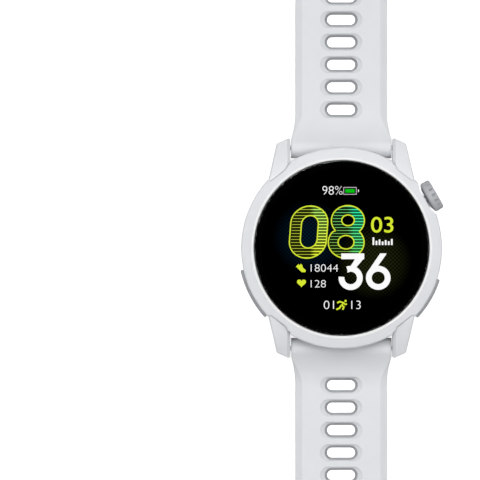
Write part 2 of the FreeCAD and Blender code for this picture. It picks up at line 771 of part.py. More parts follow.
def stud():
    """Pill-shaped cap on the strap, with a neck and a locking foot below it."""
    lift = tail_lift(STUD_Y)
    top = lift + STRAP_THICKNESS
    foot = pill(6.2, 2.5, 0.0, lift - 0.55, 0, STUD_Y)
    neck = pill(*STUD_NECK, lift - 0.55, top, 0, STUD_Y)
    flange = pill(8.4, 3.6, lift + 0.9, lift + 1.5, 0, STUD_Y)
    cap = pill(10.2, 5.0, top - 0.25, top + 0.5, 0, STUD_Y)
    rim = [edge for edge in cap.Edges if edge.BoundBox.ZMin > top + 0.49]
    return joined([foot, neck, flange, cap.makeFillet(0.3, rim)])


def to_lower(shape):
    return mirrored(shape, Y_AXIS)


def bar_tube():
    """Tube with one fixed end pin, and a slot for the lever."""
    tube = rod(BAR_RADIUS, -10.4, 10.6).cut(rod(BAR_PIN_RADIUS + RUNNING_FIT, -11, 2.2))
    slot = block((LEVER_X - 0.5, LEVER_X + RELEASE_TRAVEL + 0.5), (-0.45, 0.45), (-3, 0))
    pin = rod(BAR_PIN_RADIUS, 10.6, BAR_PIN_REACH)
    tip = joined([tube.cut(slot), pin])
    tip.translate(Vector(0, BAR_Y, BAR_HEIGHT))
    return tip


def release_pin():
    """Sliding end pin with the lever that draws it in."""
    pin = rod(BAR_PIN_RADIUS, -BAR_PIN_REACH, -4.6)
    lever = disc(0.38, -2.1, 0, LEVER_X, 0)
    thumb = rounded_block((LEVER_X - 0.7, LEVER_X + 0.7), (-0.8, 0.8), (-2.5, -1.95), 0.3)
    solid = joined([pin, lever, thumb])
    solid.translate(Vector(0, BAR_Y, BAR_HEIGHT))
    return solid


def bar_spring():
    spring = coil(0.37, 0.09, -4.6, 2.2, 9)
    spring.translate(Vector(0, BAR_Y, BAR_HEIGHT))
    return spring


# ------------------------------------------------------------------ buckle, Y counted from its pin
def buckle_top(y):
    """Height of the frame's top: flat legs, a bend, then the sloping far bar."""
    radius = (BEND_END - BEND_START) / math.sin(BAR_SLOPE)
    if y <= BEND_START:
        return LEG_TOP
    if y <= BEND_END:
        return LEG_TOP - radius + math.sqrt(radius ** 2 - (y - BEND_START) ** 2)
    return buckle_top(BEND_END) - (y - BEND_END) * math.tan(BAR_SLOPE)


def buckle_frame():
    far = 14.57
    outer = plate(
        (-LEG_OUTSIDE - LEG_SPREAD, -1.7),
        [(-LEG_OUTSIDE, 5.0), (-LEG_OUTSIDE, 9.8), ((-10.52, 12.5), (-8.2, 13.61)),
         ((0.0, far), (8.2, 13.61)), ((10.52, 12.5), (LEG_OUTSIDE, 9.8)), (LEG_OUTSIDE, 5.0),
         (LEG_OUTSIDE + LEG_SPREAD, -1.7), (LEG_INSIDE + LEG_SPREAD, -2.2),
         (-LEG_INSIDE - LEG_SPREAD, -2.2)],
        0, LEG_TOP + 1)
    inner = plate(
        (-LEG_INSIDE - LEG_SPREAD, -4.0),
        [(-LEG_INSIDE, 4.0), (-LEG_INSIDE, 8.5), ((-9.55, 10.1), (-8.0, 10.95)),
         ((0.0, 11.9), (8.0, 10.95)), ((9.55, 10.1), (LEG_INSIDE, 8.5)), (LEG_INSIDE, 4.0),
         (LEG_INSIDE + LEG_SPREAD, -4.0)],
        -1, LEG_TOP + 2)
    top_far = buckle_top(15.0)
    side = side_plate(
        (-1.0, 0.1),
        [((-2.1, 0.5), (-2.5, 1.5)), ((-2.2, 2.8), (-1.2, LEG_TOP)), (BEND_START, LEG_TOP),
         ((8.4, buckle_top(8.4)), (BEND_END, buckle_top(BEND_END))), (15.0, top_far), (15.0, 0.0),
         (9.0, 0.0)],
        -CASE_RADIUS, CASE_RADIUS)
    frame = outer.cut(inner).common(side)
    notch = block((-NOTCH_HALF, NOTCH_HALF), (8.0, 12.9), (1.35, 6))
    pin_room = rod(PIN_RADIUS, -PIN_HALF_LENGTH, PIN_HALF_LENGTH, 0, PIN_HEIGHT)
    frame = frame.cut([notch, pin_room])
    frame.translate(Vector(0, PIN_Y, 0))
    return frame


def buckle_tongue():
    eyelet = 1.3
    tip = TONGUE_TIP
    top_in_bar = buckle_top(11.7) + 0.05
    side = side_plate(
        (0.0, PIN_HEIGHT - eyelet),
        [((-eyelet, PIN_HEIGHT), (0.0, PIN_HEIGHT + eyelet)), (1.5, PIN_HEIGHT + eyelet),
         ((3.8, 2.64), (5.6, 2.78)), ((8.6, 3.02), (11.7, top_in_bar)),
         (tip - 0.25, buckle_top(tip) + 0.05), (tip, buckle_top(tip) - 0.25), (tip, 1.42),
         (11.4, 1.42), ((8.6, 1.82), (5.6, 1.66)), ((3.2, 1.2), (1.4, 0.45))],
        -TONGUE_HALF, TONGUE_HALF)
    bore = rod(PIN_RADIUS + RUNNING_FIT, -5, 5, 0, PIN_HEIGHT)
    waist_radius = 60.0
    waist = TONGUE_HALF - 0.12
    sides = [disc(waist_radius, -1, 6, waist + waist_radius, 5.8),
             disc(waist_radius, -1, 6, -waist - waist_radius, 5.8)]
    tongue = side.cut([bore] + sides)
    tongue.translate(Vector(0, PIN_Y, 0))
    return tongue


def buckle_pin():
    return rod(PIN_RADIUS, -PIN_HALF_LENGTH, PIN_HALF_LENGTH, PIN_Y, PIN_HEIGHT)


# ------------------------------------------------------------------ all nodes
nodes["bezel_ring"] = bezel_ring()
nodes["cover_lens"] = cover_lens()
nodes["lens_gasket"] = ring(17.75, 18.9, GLASS_BOTTOM - 0.15, GLASS_BOTTOM)
nodes["display_panel"] = display_panel()
nodes["display_flex"] = display_flex()
nodes["mid_case"] = mid_case()
nodes["back_cover"] = back_cover()
nodes["case_gasket"] = ring(GASKET_INSIDE, GASKET_OUTSIDE, GASKET_BOTTOM, COVER_TOP)
nodes["case_screws"] = case_screws()
nodes["sensor_window"] = sensor_window()
nodes["sensor_light_shield"] = sensor_light_shield()
nodes["sensor_board"] = disc(11.0, *SENSOR_BOARD)
nodes["sensor_leds"] = sensor_leds()
nodes["sensor_photodiodes"] = sensor_photodiodes()
nodes["charging_port_body"] = charging_port_body()
nodes["charging_pins"] = charging_pins()
nodes["main_board"] = main_board()
nodes["board_shield_can"] = board_shield_can()
nodes["board_chips"] = board_chips()
nodes["battery_cell"] = battery_cell()
nodes["inner_chassis"] = inner_chassis()
nodes["gnss_antenna"] = gnss_antenna()
nodes["haptic_motor_can"] = haptic_motor_can()
nodes["haptic_rotor"] = haptic_rotor()
nodes["beeper_disc"] = beeper_disc()
nodes["pressure_vent"] = pressure_vent()

nodes["crown_knob"] = crown_knob()
nodes["crown_shaft"] = crown_shaft()
nodes["crown_seals"] = crown_seals()
nodes["crown_clip"] = crown_clip()
nodes["crown_magnet"] = crown_magnet()
nodes["crown_tube"] = crown_tube()
nodes["crown_plunger"] = crown_plunger()
nodes["crown_switch"] = crown_switch()
nodes["crown_spring"] = crown_spring()

for side_name, button_angles in (("right", RIGHT_BUTTON), ("left", LEFT_BUTTON)):
    nodes[side_name + "_button_cap"] = button_cap(button_angles)
    nodes[side_name + "_button_stem"] = button_stem(button_angles)
    nodes[side_name + "_button_seal"] = button_seal(button_angles)
    nodes[side_name + "_button_clip"] = button_clip(button_angles)
    nodes[side_name + "_button_spring"] = button_spring(button_angles)
    nodes[side_name + "_button_switch"] = button_switch(button_angles)

nodes["upper_strap"] = upper_strap()
nodes["upper_bar_tube"] = bar_tube()
nodes["upper_bar_spring"] = bar_spring()
nodes["upper_release_pin"] = release_pin()
nodes["lower_strap"] = to_lower(lower_strap_solid())
nodes["lower_bar_tube"] = to_lower(bar_tube())
nodes["lower_bar_spring"] = to_lower(bar_spring())
nodes["lower_release_pin"] = to_lower(release_pin())
nodes["tail_stud"] = to_lower(stud())
nodes["buckle_frame"] = buckle_frame()
nodes["buckle_tongue"] = buckle_tongue()
nodes["buckle_pin"] = buckle_pin()

os.makedirs("parts", exist_ok=True)
for name, shape in nodes.items():
    assert shape.isValid() and all(solid.isClosed() for solid in shape.Solids), name
    shape.exportStep("parts/" + name + ".step")
    print(name, len(shape.Solids), "solids", round(shape.Volume, 2), "mm3")
print(len(nodes), "nodes")
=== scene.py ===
"""Looks of the GPS running watch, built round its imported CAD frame. Metres.

The watch lies flat and face up: +Z towards the viewer, +Y towards 12 o'clock, +X towards 3 o'clock.
"""
import json
import math
from collections import namedtuple

import bmesh
import bpy
from mathutils import Matrix, Vector

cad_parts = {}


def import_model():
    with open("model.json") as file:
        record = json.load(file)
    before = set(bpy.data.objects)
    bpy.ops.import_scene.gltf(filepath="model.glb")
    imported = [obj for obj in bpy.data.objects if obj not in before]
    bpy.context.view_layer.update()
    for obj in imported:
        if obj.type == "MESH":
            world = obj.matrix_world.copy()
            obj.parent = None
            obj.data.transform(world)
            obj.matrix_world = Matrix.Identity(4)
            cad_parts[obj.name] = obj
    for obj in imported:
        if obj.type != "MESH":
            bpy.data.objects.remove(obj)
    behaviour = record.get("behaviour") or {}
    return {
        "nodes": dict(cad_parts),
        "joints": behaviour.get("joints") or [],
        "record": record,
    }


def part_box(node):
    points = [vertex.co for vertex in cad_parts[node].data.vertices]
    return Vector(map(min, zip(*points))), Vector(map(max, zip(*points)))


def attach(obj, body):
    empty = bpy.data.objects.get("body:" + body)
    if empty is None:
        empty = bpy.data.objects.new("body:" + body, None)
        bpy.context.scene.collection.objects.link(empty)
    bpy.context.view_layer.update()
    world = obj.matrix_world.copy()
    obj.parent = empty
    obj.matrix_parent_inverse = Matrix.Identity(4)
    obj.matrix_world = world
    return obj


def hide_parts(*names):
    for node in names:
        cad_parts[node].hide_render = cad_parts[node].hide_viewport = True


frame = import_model()
bpy.context.view_layer.update()

# ------------------------------------------------------------------ driving sizes
MM = 0.001


def middle(node):
    """Centre of a CAD node's box."""
    low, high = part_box(node)
    return (low + high) / 2


GLASS_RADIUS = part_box("cover_lens")[1].x
GLASS_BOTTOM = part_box("cover_lens")[0].z
BAR = middle("upper_bar_spring")            # axis of the spring bar at 12 o'clock
PIN = middle("buckle_pin")
STUD_Y = -middle("tail_stud").y             # counted towards the tail's tip
TIP_Y = -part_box("lower_strap")[0].y

THICKNESS = 2.6 * MM
HALF_WIDTH = 9.95 * MM
LUG_HALF_WIDTH = 10.85 * MM
END_RADIUS = 2.25 * MM                      # of the strap, round the spring bar
SLOT_PITCH = 4.87 * MM
UPPER_SLOT_COUNT = 13
LOWER_SLOT_COUNT = 21
UPPER_SLOT_LAST = PIN.y - 9.0 * MM
LOWER_SLOT_LAST = STUD_Y - 6.97 * MM
STRAP_END_Y = PIN.y + 2.2 * MM
BOSS = 2.9 * MM                             # thickness of the strap at the buckle pin
NOTCH_HALF = 2.865 * MM
NOTCH_START = PIN.y - 1.5 * MM
LIFT_START = 95 * MM                        # the tail curves up from here
LIFT_RADIUS = 450 * MM


# ------------------------------------------------------------------ stage
def camera():
    """Straight above, far away through a long lens; the watch stands right of the middle."""
    height, field = 2.0, 103.87 * MM        # of the lens, and how wide it sees at the straps' top
    aside, ahead = -21.9 * MM, 1.73 * MM
    data = bpy.data.cameras.new("camera")
    data.sensor_width = 36
    data.lens = data.sensor_width * (height - THICKNESS) / field
    data.clip_end = 20
    thing = bpy.data.objects.new("camera", data)
    thing.location = (aside, ahead, height)
    bpy.context.scene.collection.objects.link(thing)
    bpy.context.scene.camera = thing


def world():
    """Soft dome round a big overhead light, with a dark opening where the camera looks in."""
    glow = 0.2                              # of the whole room
    floor_share = 0.45                      # of that glow, below the horizon
    lamp, focus = 7.1, 14.0                 # strength of the overhead light, and how narrow it is
    tilt = 0.14                             # of the overhead light, towards 12 o'clock
    opening = (0.985, 0.9945)               # cosines at its soft edge
    made = bpy.data.worlds.new("studio")
    made.use_nodes = True
    bpy.context.scene.world = made
    tree = made.node_tree
    direction = tree.nodes.new("ShaderNodeTexCoord").outputs["Generated"]
    split = tree.nodes.new("ShaderNodeSeparateXYZ")
    tree.links.new(direction, split.inputs[0])
    toward = tree.nodes.new("ShaderNodeVectorMath")
    toward.operation = "DOT_PRODUCT"
    tree.links.new(direction, toward.inputs[0])
    toward.inputs[1].default_value = (0.0, tilt, math.sqrt(1 - tilt * tilt))
    above = calc(tree, "GREATER_THAN", split.outputs["Z"], 0.0)
    lobe = calc(tree, "POWER", calc(tree, "MAXIMUM", toward.outputs["Value"], 0.0), focus)
    light = calc(tree, "MULTIPLY", lobe, lamp)
    room = spread(tree, above, glow * floor_share, glow)
    hole = spread(tree, split.outputs["Z"], 1.0, 0.0, *opening)
    total = calc(tree, "ADD", calc(tree, "MULTIPLY", light, above), room)
    background = tree.nodes["Background"]
    background.inputs["Color"].default_value = (0.99, 0.995, 1.0, 1)
    tree.links.new(calc(tree, "MULTIPLY", total, hole), background.inputs["Strength"])


def floor():
    """Pale floor; it shines for the camera only, so that it stays white round the watch."""
    size = 30.0
    shine = 0.85
    corners = [(-size, -size, 0), (size, -size, 0), (size, size, 0), (-size, size, 0)]
    mesh = bpy.data.meshes.new("floor")
    mesh.from_pydata(corners, [], [(0, 1, 2, 3)])
    thing = bpy.data.objects.new("floor", mesh)
    bpy.context.scene.collection.objects.link(thing)
    paint, tree, shader = shader_of("white_floor")
    shader.inputs["Base Color"].default_value = (0.75, 0.75, 0.75, 1)
    shader.inputs["Roughness"].default_value = 0.9
    shader.inputs["Specular IOR Level"].default_value = 0.0
    shader.inputs["Emission Color"].default_value = (1, 1, 1, 1)
    seen = tree.nodes.new("ShaderNodeLightPath").outputs["Is Camera Ray"]
    tree.links.new(calc(tree, "MULTIPLY", seen, shine), shader.inputs["Emission Strength"])
    mesh.materials.append(paint)


# ------------------------------------------------------------------ materials
WHITE_POLYMER = (0.795, 0.805, 0.825)


def shader_of(name):
    """New material, its node tree and its main shader."""
    made = bpy.data.materials.new(name)
    made.use_nodes = True
    return made, made.node_tree, made.node_tree.nodes["Principled BSDF"]


def calc(tree, operation, first, second):
    """One sum of two values, each a number or another node's result."""
    made = tree.nodes.new("ShaderNodeMath")
    made.operation = operation
    for socket, value in zip(made.inputs, (first, second)):
        if isinstance(value, float):
            socket.default_value = value
        else:
            tree.links.new(value, socket)
    return made.outputs["Value"]


def noise(tree, scale, detail=2.0):
    """Noise over the piece, at so many waves to the metre."""
    place = tree.nodes.new("ShaderNodeTexCoord")
    made = tree.nodes.new("ShaderNodeTexNoise")
    made.inputs["Scale"].default_value = scale
    made.inputs["Detail"].default_value = detail
    tree.links.new(place.outputs["Object"], made.inputs["Vector"])
    return made.outputs["Fac"]


def spread(tree, value, low, high, start=0.0, end=1.0):
    """Maps a value from one range to another."""
    made = tree.nodes.new("ShaderNodeMapRange")
    made.inputs["From Min"].default_value = start
    made.inputs["From Max"].default_value = end
    made.inputs["To Min"].default_value = low
    made.inputs["To Max"].default_value = high
    tree.links.new(value, made.inputs["Value"])
    return made.outputs["Result"]


def tint(tree, value, low, high):
    """Maps a 0 to 1 value to a run between two colours."""
    made = tree.nodes.new("ShaderNodeMix")
    made.data_type = "RGBA"
    made.inputs[6].default_value = (*low, 1)
    made.inputs[7].default_value = (*high, 1)
    tree.links.new(value, made.inputs[0])
    return made.outputs[2]


def bump(tree, shader, value, depth):
    """Fine relief: the value raises the surface, by no more than the depth."""
    made = tree.nodes.new("ShaderNodeBump")
    made.inputs["Strength"].default_value = 1.0
    made.inputs["Distance"].default_value = depth
    tree.links.new(value, made.inputs["Height"])
    tree.links.new(made.outputs["Normal"], shader.inputs["Normal"])


def moulded(name, colour, roughness, grain, depth, metallic=0.0, specular=0.5):
    """Moulded, cast or blasted surface: fine grain, and slight unevenness of colour and gloss."""
    variation, gloss_variation = 0.03, 0.04
    made, tree, shader = shader_of(name)
    patches = noise(tree, 180.0)
    darker = [c * (1 - variation) for c in colour]
    lighter = [min(1.0, c * (1 + variation)) for c in colour]
    tree.links.new(tint(tree, patches, darker, lighter), shader.inputs["Base Color"])
    gloss = spread(tree, patches, roughness - gloss_variation, roughness + gloss_variation)
    tree.links.new(gloss, shader.inputs["Roughness"])
    shader.inputs["Metallic"].default_value = metallic
    shader.inputs["Specular IOR Level"].default_value = specular
    bump(tree, shader, noise(tree, grain, 3.0), depth)
    return made


def clear_glass():
    """Cover glass with a coating that kills most of its reflection."""
    made, tree, shader = shader_of("cover_glass")
    shader.inputs["Transmission Weight"].default_value = 1.0
    shader.inputs["IOR"].default_value = 1.5
    shader.inputs["Specular IOR Level"].default_value = 0.4
    smears = noise(tree, 60.0)
    tree.links.new(spread(tree, smears, 0.0, 0.02), shader.inputs["Roughness"])
    tree.links.new(tint(tree, smears, (0.97, 0.97, 0.98), (1, 1, 1)), shader.inputs["Base Color"])
    return made


def vector_sum(tree, operation, first, second=None, result="Vector"):
    """One sum of two vectors: the first another node's result, the second fixed."""
    made = tree.nodes.new("ShaderNodeVectorMath")
    made.operation = operation
    tree.links.new(first, made.inputs[0])
    if second is not None:
        made.inputs[1].default_value = second
    return made.outputs[result]


def repaint(made, where, colour):
    """Lays another colour over a finish, as strongly as the value says."""
    base = made.node_tree.nodes["Principled BSDF"].inputs["Base Color"]
    mix = made.node_tree.nodes.new("ShaderNodeMix")
    mix.data_type = "RGBA"
    mix.inputs[7].default_value = (*colour, 1)
    made.node_tree.links.new(where, mix.inputs[0])
    made.node_tree.links.new(base.links[0].from_socket, mix.inputs[6])
    made.node_tree.links.new(mix.outputs[2], base)


def crown_metal_painted_shade():
    """The crown's grey metal, with painted shade down in its grips."""
    made = moulded("crown_metal_painted_shade", (0.45, 0.457, 0.477), 0.5, 14000, 4e-6)
    tree = made.node_tree
    low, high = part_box("crown_knob")
    radius = (high.z - low.z) / 2
    grips = (-0.2 * MM, 0.6 * MM)           # their ends along the axis, from the joint's point on it
    soft = 0.05 * MM                        # half the length over which the painted shade fades
    turn = next(joint for joint in frame["joints"] if joint["name"] == "crown_turn")
    place = tree.nodes.new("ShaderNodeTexCoord").outputs["Object"]
    offset = vector_sum(tree, "SUBTRACT", place, turn["pos_m"])
    along = vector_sum(tree, "DOT_PRODUCT", offset, turn["axis"], "Value")
    across = vector_sum(tree, "CROSS_PRODUCT", offset, turn["axis"])
    away = vector_sum(tree, "LENGTH", across, result="Value")
    depth = spread(tree, away, 1.0, 0.0, radius - 0.15 * MM, radius - 0.03 * MM)
    started = spread(tree, along, 0.0, 1.0, grips[0] - soft, grips[0] + soft)
    ended = spread(tree, along, 1.0, 0.0, grips[1] - soft, grips[1] + soft)
    between = calc(tree, "MULTIPLY", started, ended)
    # painted shade: the grips' grooves are coloured darker, standing in for the shade that falls in them
    repaint(made, calc(tree, "MULTIPLY", depth, between), (0.31, 0.32, 0.34))
    return made


def ring_polymer_painted_highlight():
    """The case's white polymer, with a painted highlight on the lip round the glass."""
    lip_end, ring_start = GLASS_RADIUS + 0.3 * MM, GLASS_RADIUS + 0.75 * MM
    made = moulded("ring_polymer_painted_highlight", WHITE_POLYMER, 0.42, 9000, 4e-6)
    tree = made.node_tree
    place = tree.nodes.new("ShaderNodeTexCoord").outputs["Object"]
    away = vector_sum(tree, "LENGTH", vector_sum(tree, "MULTIPLY", place, (1, 1, 0)), result="Value")
    # painted highlight: the lip round the glass is coloured towards white, standing in for the light it
    # catches
    repaint(made, spread(tree, away, 1.0, 0.0, lip_end, ring_start), (1, 1, 1))
    return made


def finishes():
    """A material for each material slot of the record, for the slots' walls with their painted shade, and
    for two nodes by name: the crown with painted shade in its grips, the ring with a painted highlight on
    its lip.
    """
    return {
        "white_polymer": moulded("white_polymer", WHITE_POLYMER, 0.42, 9000, 4e-6),
        "cover_glass": clear_glass(),
        "sensor_glass": moulded("sensor_glass", (0.012, 0.012, 0.015), 0.08, 400, 1e-7),
        "display_black": moulded("display_black", (0.001, 0.001, 0.0012), 0.3, 400, 1e-7,
                                 specular=0.0),
        "flex_amber": moulded("flex_amber", (0.55, 0.26, 0.06), 0.35, 3000, 1e-6),
        "seal_rubber": moulded("seal_rubber", (0.02, 0.02, 0.02), 0.7, 6000, 4e-6),
        "strap_silicone": moulded("strap_silicone", (0.757, 0.768, 0.787), 0.55, 12000, 6e-6,
                                  specular=0.35),
        # painted shade: the slots' walls are coloured darker, standing in for the shade inside the slots
        "slot_wall_painted_shade": moulded("slot_wall_painted_shade", (0.53, 0.54, 0.56), 0.6, 12000, 6e-6, specular=0.2),
        "grey_metal": moulded("grey_metal", (0.385, 0.392, 0.41), 0.5, 14000, 4e-6, metallic=0.15),
        "crown_knob": crown_metal_painted_shade(),
        "bezel_ring": ring_polymer_painted_highlight(),
        "plain_steel": moulded("plain_steel", (0.56, 0.56, 0.57), 0.3, 5000, 2e-6, metallic=1.0),
        "magnet_nickel": moulded("magnet_nickel", (0.62, 0.6, 0.55), 0.15, 2000, 1e-6, metallic=1.0),
        "black_plastic": moulded("black_plastic", (0.02, 0.02, 0.022), 0.5, 8000, 5e-6),
        "board_green": moulded("board_green", (0.01, 0.10, 0.045), 0.3, 4000, 2e-6),
        "chip_black": moulded("chip_black", (0.02, 0.02, 0.022), 0.4, 9000, 3e-6),
        "led_clear": moulded("led_clear", (0.55, 0.75, 0.5), 0.2, 1000, 1e-6),
        "contact_gold": moulded("contact_gold", (0.83, 0.6, 0.22), 0.22, 4000, 1e-6, metallic=1.0),
        "battery_foil": moulded("battery_foil", (0.5, 0.51, 0.53), 0.4, 2500, 6e-6, metallic=1.0),
        "piezo_brass": moulded("piezo_brass", (0.7, 0.52, 0.24), 0.25, 3000, 1e-6, metallic=1.0),
    }


def dress_nodes(paints):
    """Gives every CAD node its finish, and rounds the edges of those that show."""
    rounded = {                             # radius in millimetres
        "bezel_ring": 0.05, "mid_case": 0.08, "back_cover": 0.1, "crown_knob": 0.05,
        "right_button_cap": 0.05, "left_button_cap": 0.05, "buckle_frame": 0.32, "buckle_tongue": 0.3,
        "charging_port_body": 0.08, "case_screws": 0.05,
    }
    for part in frame["record"]["subparts"]:
        node = frame["nodes"][part["node"]]
        node.data.materials.clear()
        node.data.materials.append(paints.get(part["node"], paints[part["material_slot"]]))
        if part["node"] in rounded:
            soften(node, rounded[part["node"]] * MM)


def soften(thing, width):
    """Rounds the sharp edges with modifiers."""
    same_plane, sharp_from = math.radians(0.5), math.radians(32)
    weld = thing.modifiers.new("weld", "WELD")
    weld.merge_threshold = 1e-6
    flats = thing.modifiers.new("flats", "DECIMATE")
    flats.decimate_type = "DISSOLVE"
    flats.angle_limit = same_plane
    bevel = thing.modifiers.new("bevel", "BEVEL")
    bevel.width = width
    bevel.segments = 3
    bevel.limit_method = "ANGLE"
    bevel.angle_limit = sharp_from
    even = thing.modifiers.new("even", "WEIGHTED_NORMAL")
    even.keep_sharp = False


# ------------------------------------------------------------------ mesh making
class Skin:
    """Faces gathered from grids of points; points that meet are merged at the end."""

    def __init__(self):
        self.made = bmesh.new()

    def grid(self, rows, closed=False, slot=0):
        """Faces between rows of points; closed rows end where they start."""
        lines = [[self.made.verts.new(point) for point in row] for row in rows]
        for here, there in zip(lines, lines[1:]):
            count = len(here)
            for k in range(count if closed else count - 1):
                after = (k + 1) % count
                face = self.made.faces.new((here[k], here[after], there[after], there[k]))
                face.material_index = slot

    def mesh(self, name):
        """The faces as one mesh, all facing outwards."""
        bmesh.ops.remove_doubles(self.made, verts=self.made.verts, dist=2e-6)
        bmesh.ops.dissolve_degenerate(self.made, edges=self.made.edges, dist=1e-6)
        bmesh.ops.recalc_face_normals(self.made, faces=self.made.faces)
        data = bpy.data.meshes.new(name)
        self.made.to_mesh(data)
        self.made.free()
        return data


def thing_of(name, data):
    """New object in the scene."""
    made = bpy.data.objects.new(name, data)
    bpy.context.scene.collection.objects.link(made)
    return made


def shade(thing):
    """Smooth shading, broken at the sharp edges."""
    sharp_from = math.radians(38)
    for face in thing.data.polygons:
        face.use_smooth = True
    thing.data.set_sharp_from_angle(angle=sharp_from)
    even = thing.modifiers.new("even", "WEIGHTED_NORMAL")
    even.keep_sharp = True


def blend_values(low, high, share):
    return low + (high - low) * share


def ramp(place, start, length):
    """0 before the start, 1 past the length, and level at both ends."""
    share = min(1.0, max(0.0, (place - start) / length))
    return share * share * (3 - 2 * share)


# ------------------------------------------------------------------ straps, drawn towards +Y
# A station is one cut across a strap: half its width, the top and bottom of its side as (y, z),
# the outward direction of its edge in plan, and how much of the bevel it has.
Station = namedtuple("Station", "x top bottom out bevel")

INNER_SPLITS = 6                # faces across the middle of a strap, beside a slot's straight side
OUTER_SPLITS = 5                # faces from there to the edge of the flat top
SIDE_SPLITS = 6                 # faces along the side of one slot's cell
INNER_SHARE = 0.4
BEVEL_WIDE = 1.58 * MM
BEVEL_DEEP = 0.8 * MM
EDGE_WIDE = 0.3 * MM            # rounding where there is no bevel, and of the lower edge
EDGE_DEEP = 0.14 * MM


def columns(inner):
    """Places across half a strap's flat top, mirrored, as shares of its half width."""
    right = [blend_values(inner, 1.0, k / OUTER_SPLITS) for k in range(OUTER_SPLITS + 1)]
    centre = [blend_values(-inner, inner, k / INNER_SPLITS) for k in range(1, INNER_SPLITS)]
    return [-share for share in reversed(right)] + centre + right


def wide_of(station):
    """Width of the bevel, or of the rounding where there is none."""
    return blend_values(EDGE_WIDE, BEVEL_WIDE, station.bevel)


def side_profile(station):
    """(offset from the edge, share of the thickness) from the flat top down to the flat underside."""
    tall = max(station.top[1] - station.bottom[1], THICKNESS)
    wide = wide_of(station)
    deep = blend_values(EDGE_DEEP, BEVEL_DEEP, station.bevel) / tall
    low = EDGE_DEEP / tall
    return [
        (wide, 1.0),
        (wide * 0.94, 1.0 - deep * 0.02),
        (wide * 0.86, 1.0 - deep * 0.11),
        (wide * 0.1, 1.0 - deep * 0.88),
        (wide * 0.03, 1.0 - deep * 1.0),
        (0.0, 1.0 - deep * 1.25),
        (0.0, low * 1.8),
        (EDGE_WIDE * 0.25, low * 0.5),
        (EDGE_WIDE * 0.6, low * 0.12),
        (EDGE_WIDE, 0.0),
    ]


def side_point(station, offset, share, side=1.0):
    """Point so far in from a strap's edge, at a share of the way up its side."""
    y = blend_values(station.bottom[0], station.top[0], share)
    z = blend_values(station.bottom[1], station.top[1], share)
    return Vector((side * (station.x - offset * station.out[0]), y - offset * station.out[1], z))


def flat_row(station, top, inner):
    """Points across the flat top or underside."""
    offset, share = (wide_of(station), 1.0) if top else (EDGE_WIDE, 0.0)
    edge = side_point(station, offset, share)
    return [Vector((edge.x * c, edge.y, edge.z)) for c in columns(inner)]


def pill_loop(length, width):
    """Plan of a slot as (x, y), with as many points as the loop round its cell."""
    radius = width / 2
    reach = length / 2 - radius
    splits = 2 * OUTER_SPLITS + SIDE_SPLITS
    top = [(blend_values(-reach, reach, k / INNER_SPLITS), radius) for k in range(INNER_SPLITS)]
    angles = [math.pi / 2 - math.pi * k / splits for k in range(splits)]
    right = [(reach + radius * math.cos(a), radius * math.sin(a)) for a in angles]
    half = top + right
    return half + [(-x, -y) for x, y in half]


def cell_loop(half_flat_at, y, half_pitch):
    """Border of a slot's cell as (x, y offset); half_flat_at gives the flat's half width at a Y."""
    across = columns(INNER_SHARE)
    centre = across[OUTER_SPLITS:OUTER_SPLITS + INNER_SPLITS]
    outwards = across[OUTER_SPLITS + INNER_SPLITS:-1]
    inwards = list(reversed(across[OUTER_SPLITS + INNER_SPLITS + 1:]))
    steps = [blend_values(half_pitch, -half_pitch, k / SIDE_SPLITS) for k in range(SIDE_SPLITS)]
    loop = []
    for way in (1, -1):
        here, there = [half_flat_at(y + end * half_pitch) for end in (way, -way)]
        loop += [(way * share * here, way * half_pitch) for share in centre + outwards]
        loop += [(way * half_flat_at(y + way * offset), way * offset) for offset in steps]
        loop += [(way * share * there, -way * half_pitch) for share in inwards]
    return loop


# loops of a slot from the flat top to the underside: length, width, depth below the top
SLOT_LOOPS = (
    (9.26, 3.83, 0.0), (9.10, 3.67, 0.02), (9.0, 3.57, 0.07), (8.86, 3.47, 0.14),
    (7.28, 3.22, 0.40), (7.18, 3.12, 0.43), (7.1, 3.05, 0.52), (6.9, 2.86, 0.9),
)
SLOT_BOTTOM_LOOPS = ((6.04, 2.12, 0.3), (6.04, 2.12, 0.08), (6.2, 2.28, 0.0))
WALL_LOOPS = (6, 9)             # of all a cell's loops, its border first, the ends of the wall with painted shade


def rise(y):
    """How far the top stands above the plain strap, between the lug end and the first slot."""
    plain_from, steepness, power = 30.5 * MM, 0.036, 2.13
    run = max(0.0, plain_from - y) / MM
    return steepness * run ** power * MM


def lug_stations(body_of_strap):
    """Round the spring bar, from the face that looks at the case, then down the slope."""
    crest = math.radians(50)
    made = []
    turns = 14
    for k in range(turns):
        share = k / turns
        high = math.pi - (math.pi - crest) * share
        low = math.pi + math.pi / 2 * share
        top = (BAR.y + END_RADIUS * math.cos(high), BAR.z + END_RADIUS * math.sin(high))
        bottom = (BAR.y + END_RADIUS * math.cos(low), BAR.z + END_RADIUS * math.sin(low))
        made.append(Station(LUG_HALF_WIDTH, top, bottom, (1, 0), 0.0))
    start = body_of_strap.first_cell_y
    crest_y = BAR.y + END_RADIUS * math.cos(crest)
    slopes = 9
    flat_from = 27.0 * MM
    for k in range(slopes):
        share = k / slopes
        top_y = blend_values(crest_y, start, share)
        bottom_y = blend_values(BAR.y, start, share)
        fall = max(0.0, (flat_from - bottom_y) / (flat_from - BAR.y))
        made.append(Station(half_width(top_y), (top_y, THICKNESS + rise(top_y)),
                            (bottom_y, fall * (BAR.z - END_RADIUS)), (1, 0), bevel_at(top_y)))
    return made


def half_width(y):
    """Half width of a strap from its lug end to where it is straight."""
    straight_from, length, power = 29.2 * MM, 5.5 * MM, 1.7
    share = max(0.0, min(1.0, (straight_from - y) / length))
    return HALF_WIDTH + (LUG_HALF_WIDTH - HALF_WIDTH) * share ** power


def bevel_at(y):
    """How much of the bevel a strap has: it grows from the lugs on."""
    start, length = 23.5 * MM, 6.0 * MM
    return ramp(y, start, length)


